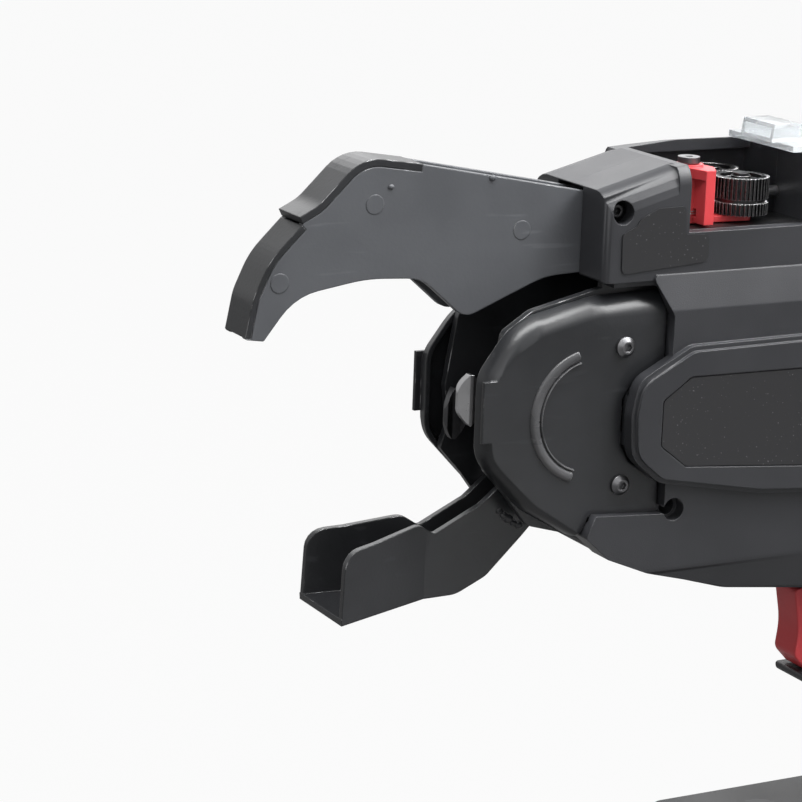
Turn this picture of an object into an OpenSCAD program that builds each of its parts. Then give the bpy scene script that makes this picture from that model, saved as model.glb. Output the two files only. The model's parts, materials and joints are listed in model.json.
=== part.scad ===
// Cordless rebar tying tool, millimetres. The jaws point along -X, +Z is up and the origin is the
// centre of the battery's bottom face. Y = 0 is the plane of the wire loop and of the housing seam.

/* [Main sizes] */
// Height of the twisting axis above the battery's bottom face
axis_z = 248; // [246:1:252]
// Width of the nose of the housing
nose_w = 52; // [50:1:56]
// Width over the stepped side covers
cover_w = 60; // [58:1:64]
// Width over the raised islands of the covers
island_w = 68; // [66:1:74]
// Wall of the housing
wall = 2.6; // [2:0.2:3.2]
// Radius of the top shoulders of the housing
shoulder_r = 9; // [6:0.5:10]

/* [Upper jaw] */
// Thickness of the whole jaw
jaw_t = 16.6; // [14:0.2:18]
// Thickness of each jaw side plate
jaw_plate_t = 3; // [2:0.5:4]
// Thickness of the strip along the front rim
rim_t = 2.2; // [1.5:0.1:3]
// Thickness of the curved plate over the crown
crown_t = 2.6; // [2:0.1:3.5]
// Depth of the wire channel between the jaw plates
channel_depth = 3; // [2:0.5:5]

/* [Lower jaw] */
// Width of the mouth over its walls
mouth_w = 34; // [30:1:36]
// Width of the arm over its walls
arm_w = 14; // [13:0.5:18]
// Sheet thickness of the lower jaw
lower_t = 2.4; // [1.8:0.2:3]
// Diameter of the pivot pin
pivot_d = 8; // [6:0.5:9]

/* [Frame and side plates] */
// Width inside the two cheeks
frame_in = 30; // [30:0.5:32]
// Thickness of a cheek
cheek_t = 3; // [2.5:0.1:3.4]
// Sheet thickness of the stamped side plates
plate_t = 1.6; // [1.2:0.1:2]
// Diameter of the side plate screws
plate_screw_d = 4; // [3:0.5:5]

/* [Twister] */
// Diameter of the twisting shaft
shaft_d = 10; // [8:0.5:11]
// Outer diameter of the sliding sleeve
sleeve_d = 27; // [25:0.5:28]
// Height of a hook
hook_h = 26; // [20:1:27]
// Teeth of the output gear
output_teeth = 36; // [34:1:36]
// Teeth of the pinion
pinion_teeth = 28; // [26:1:28]
// Module of the reduction gears
gear_m = 1; // [0.95:0.01:1]
// Diameter of the twist motor
motor_d = 32; // [28:1:33]

/* [Wire feed] */
// Teeth of a feed gear
feed_teeth = 40; // [36:1:42]
// Module of the feed gears
feed_m = 0.5; // [0.45:0.01:0.52]
// Height of a feed gear
feed_h = 13.5; // [11:0.5:14]
// Diameter of the feed motor
feed_motor_d = 20; // [16:0.5:20]
// Thickness of the red lever's finger plate
finger_t = 4; // [3:0.5:5]
// Diameter of the tie wire
wire_d = 0.8; // [0.8:0.1:1]

/* [Wire spool] */
// Diameter of the spool flanges
spool_d = 84; // [78:1:86]
// Width over the spool flanges
spool_w = 36; // [30:1:40]
// Diameter of the winding
winding_d = 72; // [60:1:76]
// Diameter of the spool axle
axle_d = 12; // [10:0.5:16]

/* [Handle and battery] */
// Width of the handle
handle_w = 34; // [32:1:38]
// Width of the foot
foot_w = 68; // [66:1:72]
// Height of the foot above the battery
foot_h = 18; // [17:0.5:19]
// Length of the battery
battery_len = 112; // [110:1:120]
// Width of the battery
battery_w = 74; // [72:1:80]
// Height of the battery under its rails
battery_h = 50; // [49:0.5:56]
// Width of the trigger
trigger_w = 14; // [10:0.5:16]
// Diameter of the torque dial
dial_d = 16; // [12:0.5:18]
// Diameter of the power button
button_d = 8; // [6:0.5:9]

/* [Hidden] */
$fn = 48;

black = "#33343a";
jaw_grey = "#5a5c62";
steel = "#b9bcc0";
red = "#c0333c";

run = 0.1; // running clearance on a radius
slip = 0.3; // clearance between parts that slide past each other
core_w = nose_w - 2 * plate_t - 0.4;
ax = axis_z;

// Fillets every corner [x, y, radius] of an outline, with n steps to a fillet
function unit(v) = v / norm(v);
function xy(p) = [p[0], p[1]];
function corner(a, b, c, r, n) = r < 0.05 ? [b] :
  let (u = unit(a - b), v = unit(c - b), half = acos(u * v) / 2,
    d = min(r / tan(half), 0.49 * norm(a - b), 0.49 * norm(c - b)), rr = d * tan(half),
    m = b + unit(u + v) * rr / sin(half), s = b + u * d - m, e = b + v * d - m,
    a0 = atan2(s[1], s[0]), t = atan2(e[1], e[0]) - a0,
    sweep = t > 180 ? t - 360 : t < -180 ? t + 360 : t)
  [for (i = [0:n]) m + rr * [cos(a0 + sweep * i / n), sin(a0 + sweep * i / n)]];
function rounded(p, n = 4) = [for (i = [0:len(p) - 1])
  each corner(xy(p[(i + len(p) - 1) % len(p)]), xy(p[i]), xy(p[(i + 1) % len(p)]), p[i][2], n)];

// Moves every edge of a counter-clockwise outline inwards by d
function inset(p, d) = [for (i = [0:len(p) - 1])
  let (u = unit(p[i] - p[(i + len(p) - 1) % len(p)]), v = unit(p[(i + 1) % len(p)] - p[i]),
    a = [-u[1], u[0]], b = [-v[1], v[0]])
  p[i] + (a + b) * d / max(0.4, 1 + a * b)];

// The same for an outline whose corners [x, y, radius] aren't rounded yet
function shrink(p, d) = let (q = inset([for (c = p) xy(c)], d))
  [for (i = [0:len(p) - 1]) [q[i][0], q[i][1], p[i][2]]];

// Band of thickness t on the left of an open path
function band(p, t) = concat(p, [for (j = [0:len(p) - 1]) let (i = len(p) - 1 - j,
    u = unit(p[min(i + 1, len(p) - 1)] - p[max(i - 1, 0)])) p[i] + t * [-u[1], u[0]]]);

// Skins rings [height, points] that have the same number of points
module loft(rings) {
  n = len(rings[0][1]);
  m = len(rings);
  polyhedron([for (r = rings) for (q = r[1]) [q[0], q[1], r[0]]],
    concat([[for (i = [0:n - 1]) i]], [[for (i = [n - 1:-1:0]) (m - 1) * n + i]],
      [for (k = [0:m - 2]) for (i = [0:n - 1]) each [
        [k * n + i, (k + 1) * n + (i + 1) % n, k * n + (i + 1) % n],
        [k * n + i, (k + 1) * n + i, (k + 1) * n + (i + 1) % n]]]));
}

// Side views are drawn as X, Z outlines; depth runs from the seam to the left (-Y) or right (+Y)
module left() { rotate([90, 0, 0]) children(); }
module right() { mirror([0, 1, 0]) left() children(); }
module both() { left() children(); right() children(); }
module slab(d0, d1, p) { translate([0, 0, d0]) linear_extrude(d1 - d0) polygon(p); }
module across(p, w) { left() slab(-w / 2, w / 2, p); }
// Round bar along Y at X, Z, and along X at Y, Z
module bar_y(x, z, y0, y1, d) { translate([x, y0, z]) rotate([-90, 0, 0]) cylinder(d = d, h = y1 - y0); }
module bar_x(x0, x1, y, z, d) { translate([x0, y, z]) rotate([0, 90, 0]) cylinder(d = d, h = x1 - x0); }
module bar_z(x, y, z0, z1, d) { translate([x, y, z0]) cylinder(d = d, h = z1 - z0); }

// Spur gear profile with z teeth of module m; the first tooth points along +X
function gear_pts(z, m) = [for (i = [0:z - 1]) for (k = [[-0.29, -1.2], [-0.12, 0.85], [0.12, 0.85],
    [0.29, -1.2]]) let (a = (i + k[0]) * 360 / z, r = m * (z / 2 + k[1])) r * [cos(a), sin(a)]];

// Helical spring round Z: one unbroken tube of n turns
module coil(r, d, n, pitch, steps = 10) {
  count = round(n * steps);
  rings = [for (i = [0:count]) let (a = i * 360 / steps) [for (k = [0:5]) let (t = k * 60,
    q = r + d / 2 * cos(t)) [q * cos(a), q * sin(a), i * pitch / steps + d / 2 * sin(t)]]];
  polyhedron([for (g = rings) each g], concat([[0, 1, 2, 3, 4, 5]],
    [[for (k = [5:-1:0]) count * 6 + k]], [for (i = [0:count - 1]) for (k = [0:5]) each [
      [i * 6 + k, (i + 1) * 6 + k, i * 6 + (k + 1) % 6],
      [(i + 1) * 6 + k, (i + 1) * 6 + (k + 1) % 6, i * 6 + (k + 1) % 6]]]));
}

// Places along the tool
foot_z = battery_h;
foot_top = foot_z + foot_h;
nose_x = -126;
plate_x = -99.5; // rear edge of the side plates, front edge of the covers
nose_z = ax + 46.5; // underside of the nose
sill_z = ax + 63; // near sill of the feed compartment
top_z = ax + 88.8;
bay_x = -92; // front and rear of the feed compartment
bay_end = -38;
spool_x = 34;
spool_z = ax + 33;
mag_r = spool_d / 2 + 4;
hinge_x = 88;
hinge_z = ax + 44;
side_in = core_w / 2 - wall; // depth of the inside of the housing
hinge_in = 14; // inner face of the hinge ears
cover_half = side_in - 1; // half width of the clear cover
panel_x = -46.5; // control panel on the foot
panel_len = 31;
panel_w = 30;
button_x = -39;
dial_x = -25;
pivot_x = -140;
pivot_z = ax - 33;
feed_x = -60.5;
feed_c = feed_teeth * feed_m / 2; // pitch radius of a feed gear
feed_z = sill_z + 3;
lever_x = -82;
lever_y = -8;
wire_z = ax + 71;
motor_z = ax - (output_teeth + pinion_teeth) * gear_m / 2;
case_x = -66;
case_len = 13;
case_wall = 1.7;
case_r = gear_m * (output_teeth / 2 + 0.85) + case_wall;
plate_screws = [[-116.2, ax + 23.5], [-115.5, ax - 27]];
jaw_screw = [-119.5, ax + 71.4];

// Lower body, which ends inside the upper one
body_pts = rounded([[-121, ax - 53, 2], [-104, ax - 61, 12], [-67, ax - 71.7, 30],
  [-22, ax - 77, 6], [38, ax - 74, 14], [68, ax - 44, 24], [hinge_x - 1, ax + 2, 30],
  [hinge_x - 1, nose_z + 3, 0], [-121, nose_z + 3, 0]], 3);
// Upper body behind the nose
upper_pts = rounded([[-97, nose_z, 0], [hinge_x, nose_z, 0], [75, ax + 69, 20], [46, ax + 86, 24],
  [-20, top_z - 0.6, 0], [-70, top_z, 6], [-97, ax + 86.2, 0]], 3);
// Cover under the ledge
cover_pts = rounded([[-121, ax - 53.5, 1], [-104, ax - 60.5, 12], [-67, ax - 70.5, 30],
  [-22, ax - 75.5, 6], [36, ax - 72, 12], [66, ax - 42, 22], [84, ax + 2, 26], [84, ax + 49, 3],
  [-107, ax + 49, 2], [plate_x + 1, ax + 34, 2], [plate_x + 1, ax + 18.5, 0], [-111, ax + 11.5, 3],
  [-114.8, ax + 6, 3], [-114.8, ax - 13, 3], [-110.5, ax - 18.2, 2], [plate_x + 1, ax - 26, 0],
  [plate_x + 1, ax - 38.6, 0], [-127, ax - 36.8, 0], [-130.5, ax - 44.7, 1]], 3);
island_rows = [[-103, ax - 26, 8], [-60, ax - 34, 30], [16, ax - 40, 24],
  [44, ax - 22, 20], [46, ax + 10, 14], [30, ax + 24.5, 10], [-92, ax + 23.2, 8],
  [-113.5, ax + 12, 8], [-116, ax, 12], [-115, ax - 16, 10]];
panel_rows = ([[-93, ax - 20.7, 2], [-43, ax - 25, 20], [6, ax - 29, 6],
  [20, ax - 20, 6], [20, ax + 6, 5], [8, ax + 11.6, 3], [-92.5, ax + 12.6, 2],
  [-104, ax + 4.6, 2], [-104, ax - 12.3, 2]]);
handle_back = [[38, foot_top - 6], [42, foot_top + 54], [46, ax - 68]];
// Front of the handle from its top down: X, Z
handle_front = [[-26, ax - 68], [-26, ax - 77.2], [-18, ax - 80.4], [-7, ax - 82.4],
  [-5.4, ax - 90], [-5, ax - 100], [-4, ax - 112], [-1, ax - 122], [1, ax - 130],
  [5, foot_top - 6]];
function handle_plan(front, back) = rounded([[front, 0, 0], [back, 0, 0],
  [back, handle_w / 2, 13], [front, handle_w / 2, 9]], 6);
// Ledge under the trigger
ledge_pts = rounded([[0, ax - 129, 0], [2, ax - 122, 0], [2, ax - 117.6, 0],
  [-17, ax - 117.6, 1.5], [-16, ax - 120.6, 2]], 3);
foot_pts = rounded([[-58, foot_z, 0], [52, foot_z, 0], [53, foot_top - 7, 5],
  [40, foot_top, 4], [-56, foot_top, 5]], 3);
cover_path = rounded([[hinge_x - 2, hinge_z + 5, 0], [75, ax + 69, 20], [46, ax + 86, 24],
  [-20, top_z - 0.6, 0], [-46, top_z - 0.2, 0]], 3);
// Screw places in the housing: X, Z, the depth of the head's seat and of the boss
screws = [[-94.4, ax - 37.3, 14, side_in + 1], [-28, ax + 53, 16, side_in + 1],
  [24, ax - 62, 16, side_in + 1], [70, ax - 20, 16, side_in + 1],
  [22, foot_top + 22, 9, handle_w / 2 - wall], [-52, foot_z + 12.8, 24, foot_w / 2 - wall - 1],
  [42, foot_z + 13, 24, foot_w / 2 - wall - 1]];

// Profile [depth, Z] drawn out along X, and plan [X, depth] drawn out along Z
module along(x0, x1, p) {
  translate([x0, 0, 0]) rotate([0, 90, 0]) linear_extrude(x1 - x0) polygon([for (q = p) [-q[0], q[1]]]);
}
module upright(z0, z1, p) { translate([0, z1, 0]) rotate([90, 0, 0]) linear_extrude(z1 - z0) polygon(p); }

// Solid outside of one housing half, drawn with depth along +Z: each piece is a side outline
// crossed with a front profile or a plan
module shell_outside() {
  hw = nose_w / 2;
  cw = cover_w / 2;
  slab(0, core_w / 2, body_pts);
  // upper body and nose with round shoulders; the nose's top slopes down to the front
  intersection() {
    slab(0, hw, upper_pts);
    along(-98, hinge_x + 1, rounded([[-1, nose_z - 1, 0], [hw + 1, nose_z - 1, 0],
      [hw + 1, nose_z, 0], [hw, nose_z + 1, 0], [hw, top_z, shoulder_r], [-1, top_z, 0]], 5));
    upright(nose_z - 1, top_z + 1, rounded([[-99, -1, 0], [hinge_x, -1, 0], [hinge_x, hw, 9],
      [-99, hw, 0]]));
  }
  intersection() {
    slab(0, hw, rounded([[nose_x, nose_z, 1], [-95, nose_z, 0], [-95, top_z, 0],
      [nose_x, top_z, 0]]));
    translate([-96, ax + 86.5, 0]) rotate([0, 0, atan2(8, 30)])
      along(-60, 12, rounded([[-1, -60, 0], [hw, -60, 0], [hw, 0, shoulder_r], [-1, 0, 0]], 5));
    upright(nose_z - 1, top_z + 1, rounded([[nose_x, -1, 0], [-90, -1, 0], [-90, hw, 0],
      [nose_x, hw, 3]]));
  }
  // side cover: its ledge slopes out to the full width
  intersection() {
    slab(core_w / 2 - 5, cw, cover_pts);
    along(-140, 100, rounded([[5, ax - 90, 0], [hw - 4, ax - 90, 0], [cw, ax - 60, 12],
      [cw, ax + 36, 3], [hw + 0.6, ax + 48.5, 0], [5, ax + 48.5, 0]]));
    upright(ax - 90, ax + 60, rounded([[-140, 0, 0], [84, 0, 0], [84, cw, 8], [-140, cw, 3]]));
  }
  slab(cw - 2.5, island_w / 2 - 1.6, rounded(island_rows, 3));
  slab(cw - 2.5, island_w / 2, rounded(shrink(island_rows, 1.8), 3));
  // handle with its round back, the ledge under the trigger and the foot
  rotate([90, 0, 0]) loft([for (q = handle_front) [-q[1], handle_plan(q[0],
    lookup(q[1], [for (k = handle_back) [k[1], k[0]]]))]]);
  slab(0, trigger_w / 2 + 2, ledge_pts);
  intersection() {
    slab(0, foot_w / 2, foot_pts);
    upright(foot_z - 1, foot_top + 1, rounded([[-58, -1, 0], [53, -1, 0], [53, foot_w / 2, 8],
      [-58, foot_w / 2, 8]]));
  }
}

// What both halves leave empty
module shell_inside() {
  lo = -1;
  // mechanism
  slab(lo, side_in, rounded([[-118.4, ax - 50, 2], [-104, ax - 58.4, 10], [-67, ax - 69, 28],
    [-22, ax - 74.2, 4], [36, ax - 71, 12], [62, ax - 44, 16], [66, ax - 20, 8],
    [spool_x, spool_z - mag_r - wall, 10], [spool_x - mag_r * 0.75, spool_z - mag_r * 0.8, 14],
    [spool_x - mag_r - wall, spool_z, 12], [spool_x - mag_r - wall, sill_z - 2 - wall, 2],
    [-118.4, sill_z - 2 - wall, 2]]));
  // pocket of the gear case
  translate([case_x - slip, ax, 0]) rotate([0, 90, 0]) cylinder(r = case_r + slip, h = case_len + 2 * slip);
  // nose round the jaw's root
  slab(lo, nose_w / 2 - wall - 3, [[nose_x + wall, nose_z + 2], [bay_x - wall, nose_z + 2],
    [bay_x - wall, ax + 83], [nose_x + wall, ax + 75.4]]);
  slab(lo, jaw_t / 2 + slip, [[nose_x - 4, nose_z - 1], [nose_x + 10, nose_z - 1],
    [nose_x + 10, ax + 77], [nose_x - 4, ax + 78.5]]);
  slab(lo, frame_in / 2 + cheek_t + 0.4, [[-135, ax - 48.5], [-110, ax - 48.5], [-110, nose_z + 6],
    [-123, nose_z + 6], [-123, nose_z - 2], [-135, nose_z - 2]]);
  // room for the side plates
  slab(frame_in / 2 + cheek_t - 0.2, nose_w / 2 + slip, rounded([[-135, ax - 39.9, 0], [plate_x + 0.9, ax - 39.9, 0.5],
    [plate_x + 0.9, ax - 26.3, 0], [-111, ax - 17.6, 2], [-115.4, ax - 12, 3],
    [-115.4, ax + 5, 3], [-111.5, ax + 10.2, 3], [plate_x + 0.9, ax + 16.8, 0],
    [plate_x + 0.9, nose_z - 2, 0.5],
    [-135, nose_z - 2, 0]]));
  // magazine, open at the top under the clear cover
  translate([spool_x, spool_z, lo]) cylinder(r = mag_r, h = side_in - lo);
  slab(lo, side_in - 2, [[spool_x - mag_r + 4, spool_z], [spool_x + mag_r - 8, spool_z],
    [spool_x + mag_r - 8, top_z + 9], [spool_x - mag_r + 4, top_z + 9]]);
  // handle and foot
  slab(lo, handle_w / 2 - wall - 2, rounded([[9, foot_top - 9, 0], [33, foot_top - 9, 0],
    [37, foot_top + 54, 40], [40, ax - 70, 1], [-1, ax - 70, 1], [-1, ax - 102, 20]]));
  slab(lo, foot_w / 2 - wall - 2, [[-52, foot_z + 10.6], [47, foot_z + 10.6],
    [40, foot_top - wall], [-52, foot_top - wall]]);
  // rails for the battery, open at the front
  slab(lo, 22.4, [[-70, foot_z - 1], [46.6, foot_z - 1], [46.6, foot_z + 9], [-70, foot_z + 9]]);
  slab(lo, 26.4, [[-70, foot_z + 4.4], [46.6, foot_z + 4.4], [46.6, foot_z + 9], [-70, foot_z + 9]]);
  slab(lo, 20, [[-3, foot_z + 5], [30, foot_z + 5], [30, foot_z + 14], [-3, foot_z + 14]]);
  // trigger slot, panel window and the slot between the cover's hinge ears
  slab(lo, trigger_w / 2 + slip, [[-30, ax - 117.3], [1.6, ax - 117.3],
    [1.6, ax - 82.6], [-30, ax - 82.6]]);
  slab(lo, panel_w / 2 + slip / 2, [[panel_x - slip / 2, foot_top - 2],
    [panel_x + panel_len + slip / 2, foot_top - 2], [panel_x + panel_len + slip / 2, foot_top + 3],
    [panel_x - slip / 2, foot_top + 3]]);
  slab(lo, panel_w / 2 - 1.5, [[panel_x + 1.5, foot_z + 8], [panel_x + panel_len - 1.5, foot_z + 8],
    [panel_x + panel_len - 1.5, foot_top + 3], [panel_x + 1.5, foot_top + 3]]);
  // seat of the clear cover and room for its turn
  slab(lo, cover_half + slip, band(cover_path, slip));
  slab(lo, cover_half + slip, band(cover_path, -14));
  translate([hinge_x, hinge_z, lo]) cylinder(r = 9, h = cover_half + slip - lo);
}

// Bosses, ribs and seats that stand inside a housing half
module shell_details() {
  for (s = screws) translate([s[0], s[1], 0]) cylinder(d = 8, h = s[3]);
  // ear of the cover's hinge
  difference() {
    translate([hinge_x, hinge_z, hinge_in]) cylinder(d = 9, h = side_in + 2 - hinge_in);
    translate([hinge_x, hinge_z, 0]) cylinder(d = 4 + 2 * run, h = cover_half);
  }
}

// One half; the left one has the open feed compartment
module shell_half(open_side) {
  difference() {
    union() {
      difference() {
        shell_outside();
        shell_inside();
      }
      shell_details();
    }
    for (s = screws) translate([s[0], s[1], -1]) cylinder(d = 3 + 2 * run, h = 60);
    // feed compartment
    slab(-1, open_side ? cover_w : side_in, [[bay_x, sill_z], [bay_end, sill_z],
      [bay_end, open_side ? top_z + 4 : top_z - 4.5], [bay_x, open_side ? top_z + 4 : top_z - 4.5]]);
    if (!open_side) slab(-1, side_in - 4, [[bay_x, top_z - 5], [bay_end, top_z - 5],
      [bay_end, top_z + 4], [bay_x, top_z + 4]]);
    slab(-1, side_in - 0.2, [[bay_x, sill_z - 2], [bay_end, sill_z - 2], [bay_end, sill_z + 1],
      [bay_x, sill_z + 1]]);
    // hole for the feed motor's gearhead and the wire guides
    translate([0, 0, -1]) slab(0, open_side ? 1.5 : side_in + 0.2, [[feed_x - feed_c - 2, ax + 50],
      [feed_x + feed_c + 2, ax + 50], [feed_x + feed_c + 2, sill_z + 1],
      [feed_x - feed_c - 2, sill_z + 1]]);
    translate([-100, wire_z, 0]) rotate([0, 90, 0]) cylinder(d = 4.4 + 2 * run, h = 100);
    translate([spool_x, spool_z, -1]) cylinder(d = axle_d + 2 * run, h = side_in + 1.2);
  }
}

module left_shell() {
  color(black) left() difference() {
    shell_half(true);
    // deep seats of the screw heads
    for (s = screws) translate([s[0], s[1], s[2]]) cylinder(d = 6.4, h = 60);
    translate([screws[0][0], screws[0][1], cover_w / 2 - 5]) cylinder(d = 8.5, h = 20);
    translate([jaw_screw[0], jaw_screw[1], 18]) cylinder(d = 8.4, h = 20);
    translate([jaw_screw[0], jaw_screw[1], -1]) cylinder(d = plate_screw_d + 2 * run, h = 40);
    slab(island_w / 2 - 0.8, island_w, rounded(panel_rows, 3));
    vents();
  }
}

module right_shell() {
  color(black) right() difference() {
    shell_half(false);
    translate([jaw_screw[0], jaw_screw[1], -1]) cylinder(d = plate_screw_d + 2 * run, h = 24);
    slab(island_w / 2 - 0.8, island_w, rounded(panel_rows, 3));
    vents();
  }
}

// Cooling slots beside the twist motor
module vents() {
  for (i = [0:4]) translate([-30 + 9 * i, ax - 55, side_in - 2]) rotate([0, 0, -20])
    linear_extrude(30) union() {
      translate([-1.5, -6]) square([3, 12]);
      for (y = [-6, 6]) translate([0, y]) circle(d = 3);
    }
}

// Cheeks, jaw seat and bearing wall in one casting
module front_frame() {
  boss = screws[0];
  cheek = rounded([[-157.2, ax - 29.4, 2], [-148.5, ax - 41, 6], [-134.4, ax - 45, 6],
    [-126.8, ax - 47.4, 2], [-101, ax - 47.4, 3], [-71.5, ax - 33, 4], [-71.5, ax + 42, 2],
    [-97, ax + 42, 0], [-97, ax + 76.5, 2], [-122, ax + 72.5, 2], [-122, nose_z - 3, 0],
    [-150, ax + 37, 8], [-161, ax + 30, 4], [-165.4, ax + 4, 2], [-163.4, ax - 10, 2],
    [-166.5, ax - 19, 2]]);
  c = frame_in / 2;
  color(jaw_grey) difference() {
    union() {
      both() slab(c, c + cheek_t, cheek);
      // seat of the jaw's root
      both() slab(jaw_t / 2, c + 0.5, [[-122, nose_z + 2.2], [-97, nose_z + 2.2],
        [-97, ax + 76.5], [-122, ax + 72.5]]);
      translate([-112, -c - 0.5, ax - 17]) cube([7, 2 * c + 1, 34]);
      for (s = plate_screws) both() translate([s[0], s[1], c + 1])
        cylinder(d = 10, h = nose_w / 2 - plate_t - c - 1);
    }
    bar_x(-113, -104, 0, ax, shaft_d + 12);
    bar_y(pivot_x, pivot_z, -30, 30, pivot_d + 2 * run);
    for (s = plate_screws) bar_y(s[0], s[1], -40, 40, plate_screw_d + 2 * run);
    bar_y(jaw_screw[0], jaw_screw[1], -40, 40, plate_screw_d + 2 * run);
    bar_x(-99, -95, 11, ax + 45, 4);
    bar_y(boss[0], boss[1], -40, 40, 8 + 2 * slip);
  }
}

// Rows: X, Z, corner radius, how far the rim stands outside the face in X and Z
plate_rows = [[-131, ax - 44, 1, -1, -2], [-128, ax - 37.8, 0.5, 0, 0],
  [plate_x + 0.5, ax - 39.5, 0.5, 0, 0], [plate_x, ax - 27, 1, 0, 0],
  [-112.2, ax - 19.1, 3, 0, 0], [-116.2, ax - 12, 4, 0, 0], [-116.2, ax + 4.6, 4, 0, 0],
  [-112, ax + 10.6, 3, 0, 0], [plate_x, ax + 17, 1, 0, 0], [plate_x, ax + 34.6, 0.5, 0, 7.6],
  [-127, ax + 34.5, 30, 0, 6.4], [-156, ax + 28, 26, -2, 6.4], [-168.5, ax + 14, 12, -3, 2],
  [-168.5, ax - 13, 14, -3, -1], [-150.7, ax - 30.8, 30, -2, -3.4]];
function plate_ring(s, t) = let (rows = [for (r = plate_rows) [r[0] + s * r[3], r[1] + s * r[4], r[2]]])
  rounded(t > 0 ? shrink(rows, t) : rows, 6);

// Dished sheet: outer rings from the rim up to the face, inner rings back down to the rim
module pan(outer, inner) {
  n = len(outer[0][1]);
  top = len(outer) - 1;
  rings = concat(outer, inner);
  m = len(rings);
  polyhedron([for (r = rings) for (q = r[1]) [q[0], q[1], r[0]]],
    concat([[for (i = [n - 1:-1:0]) top * n + i]], [[for (i = [0:n - 1]) (top + 1) * n + i]],
      [for (k = [0:m - 1]) if (k != top) for (i = [0:n - 1]) let (up = (k + 1) % m * n) each [
        [k * n + i, up + (i + 1) % n, k * n + (i + 1) % n], [k * n + i, up + i, up + (i + 1) % n]]]));
}

// Stamped plate with a dished rim and a front tab
module side_plate() {
  h = nose_w / 2;
  rim = frame_in / 2 + cheek_t + slip;
  d = h - rim;
  color(black) difference() {
    union() {
      pan([[rim, plate_ring(1, 0)], [rim + 0.5 * d, plate_ring(0.85, 0)],
        [rim + 0.85 * d, plate_ring(0.45, 0)], [h, plate_ring(0, 0)]],
        [[h - plate_t, plate_ring(0.1, plate_t)], [rim + 0.5 * d - plate_t / 2, plate_ring(0.8, plate_t)],
          [rim, plate_ring(0.95, plate_t)]]);
      slab(h - plate_t, h, [[-172.5, ax - 7], [-164, ax - 7], [-164, ax + 15], [-172.5, ax + 15]]);
    }
    for (s = plate_screws) translate([s[0], s[1], 0]) cylinder(d = plate_screw_d + 2 * run, h = 60);
  }
}
module left_side_plate() { left() side_plate(); }
module right_side_plate() { right() side_plate(); }

module hex_screw(d, head_d, head_h, len) {
  difference() {
    union() {
      translate([0, 0, -len]) cylinder(d = d, h = len);
      cylinder(d = head_d, h = head_h * 0.4);
      translate([0, 0, head_h * 0.4]) cylinder(d1 = head_d, d2 = head_d * 0.6, h = head_h * 0.6);
    }
    translate([0, 0, head_h * 0.3]) cylinder(d = head_d * 0.42, h = head_h, $fn = 6);
  }
}
module side_plate_screws() {
  color(steel) for (s = plate_screws) both() translate([s[0], s[1], nose_w / 2])
    hex_screw(plate_screw_d, 7.4, 2.4, 10);
}

// Upper jaw: outline from the tip along the inside, round the root and back over the crown
jaw_rows = [[-255.3, ax + 32.4, 0.8], [-248.4, ax + 31.4, 0.8], [-237, ax + 46, 22],
  [-210, ax + 50.4, 60], [-189, ax + 49.2, 16], [-171.5, ax + 34, 7], [-140, ax + 46.8, 30],
  [-97.5, ax + 48.8, 1], [-97.5, ax + 74.4, 1], [-124, ax + 76.4, 2], [-190, ax + 88.9, 30],
  [-212, ax + 92.4, 16], [-229, ax + 76.5, 20], [-247, ax + 58.5, 30], [-252.5, ax + 46, 20]];
jaw_pts = rounded(jaw_rows, 5);
rim_path = rounded([[-255.3, ax + 33, 0], [-252.7, ax + 46.2, 20], [-247, ax + 58.7, 30],
  [-235.2, ax + 70.4, 0]], 6);
crown_path = rounded([[-236.2, ax + 73.2, 0], [-229.2, ax + 76.7, 16], [-213, ax + 92.6, 16],
  [-190, ax + 89.1, 0]], 6);
jaw_pin_at = [[-243, ax + 51], [-208, ax + 76], [-150, ax + 64]];

module jaw_holes() {
  for (s = jaw_pin_at) bar_y(s[0], s[1], -20, 20, 5 + 2 * run);
  bar_y(jaw_screw[0], jaw_screw[1], -20, 20, plate_screw_d + 2 * run);
}
module jaw_cheek(y0, y1) {
  color(jaw_grey) difference() {
    left() slab(y0, y1, jaw_pts);
    jaw_holes();
    // room for the rim strip and the crown plate
    across(band(rim_path, -rim_t - slip / 3), 40);
    across(band(crown_path, -crown_t - slip / 3), 40);
    across(band(rim_path, 4), 40);
    across(band(crown_path, 4), 40);
  }
}
module upper_jaw_left_plate() { jaw_cheek(jaw_t / 2 - jaw_plate_t, jaw_t / 2); }
module upper_jaw_right_plate() { jaw_cheek(-jaw_t / 2, -jaw_t / 2 + jaw_plate_t); }

module curl_guide() {
  color(steel) difference() {
    across(rounded(shrink(jaw_rows, channel_depth)), jaw_t - 2 * jaw_plate_t);
    jaw_holes();
    bar_x(-226, -90, 0, wire_z, wire_d + 1.2);
  }
}
module jaw_rim_strip() { color(black) across(band(rim_path, -rim_t), jaw_t); }
module jaw_crown_plate() { color(black) across(band(crown_path, -crown_t), jaw_t); }
module jaw_pins() {
  color(steel) for (s = jaw_pin_at) {
    bar_y(s[0], s[1], -jaw_t / 2, jaw_t / 2, 5);
    bar_y(s[0], s[1], jaw_t / 2, jaw_t / 2 + 1.6, 7);
  }
}

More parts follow.
